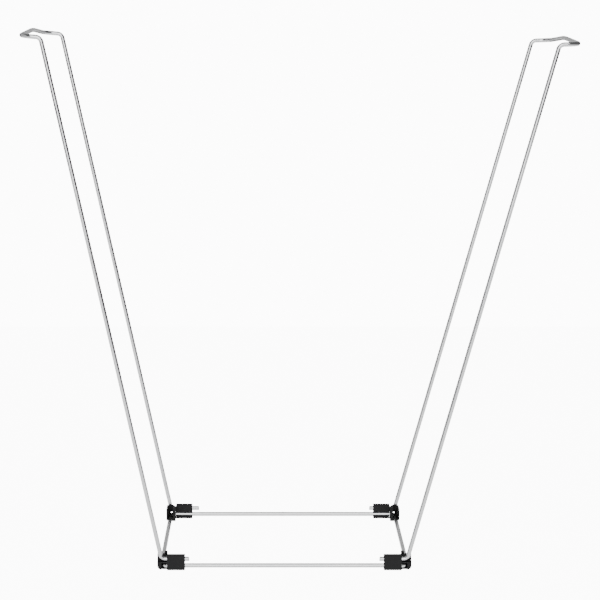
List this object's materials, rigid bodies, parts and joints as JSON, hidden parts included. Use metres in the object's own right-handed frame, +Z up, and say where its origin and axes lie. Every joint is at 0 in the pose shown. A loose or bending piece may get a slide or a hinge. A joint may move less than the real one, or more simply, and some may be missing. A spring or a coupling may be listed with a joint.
{
  "type": "clothes drying rack",
  "caption": "Bent-wire stand: a low base ring, two side frames that lean outwards and end in hooked top bars for hanging a bag or clothes, and swivelling corner clips.",
  "frame": {"origin": "centre of the overall box on the floor, under the rack", "axes": "+X along the rack's length, from the left frame to the right one; +Y from front to back; +Z up"},
  "size_m": [0.6426, 0.2398, 0.636],
  "materials": {
    "wire": "bright plated steel wire",
    "clip": "satin black moulded plastic"
  },
  "bodies": {
    "rack": {"base_ring": "wire", "left_frame": "wire", "right_frame": "wire"},
    "front_left": {"clip_front_left": "clip"},
    "back_left": {"clip_back_left": "clip"},
    "front_right": {"clip_front_right": "clip"},
    "back_right": {"clip_back_right": "clip"}
  },
  "joints": [
    {"name": "swivel_front_left", "type": "hinge", "parent": "rack", "child": "front_left", "pos_m": [-0.16306, -0.115, 0.01295], "axis": [-1, 0, 0], "range_deg": [0, 90]},
    {"name": "swivel_back_left", "type": "hinge", "parent": "rack", "child": "back_left", "pos_m": [-0.16306, 0.115, 0.01295], "axis": [1, 0, 0], "range_deg": [0, 90]},
    {"name": "swivel_front_right", "type": "hinge", "parent": "rack", "child": "front_right", "pos_m": [0.12894, -0.115, 0.01295], "axis": [-1, 0, 0], "range_deg": [0, 90]},
    {"name": "swivel_back_right", "type": "hinge", "parent": "rack", "child": "back_right", "pos_m": [0.12894, 0.115, 0.01295], "axis": [1, 0, 0], "range_deg": [0, 90]}
  ]
}
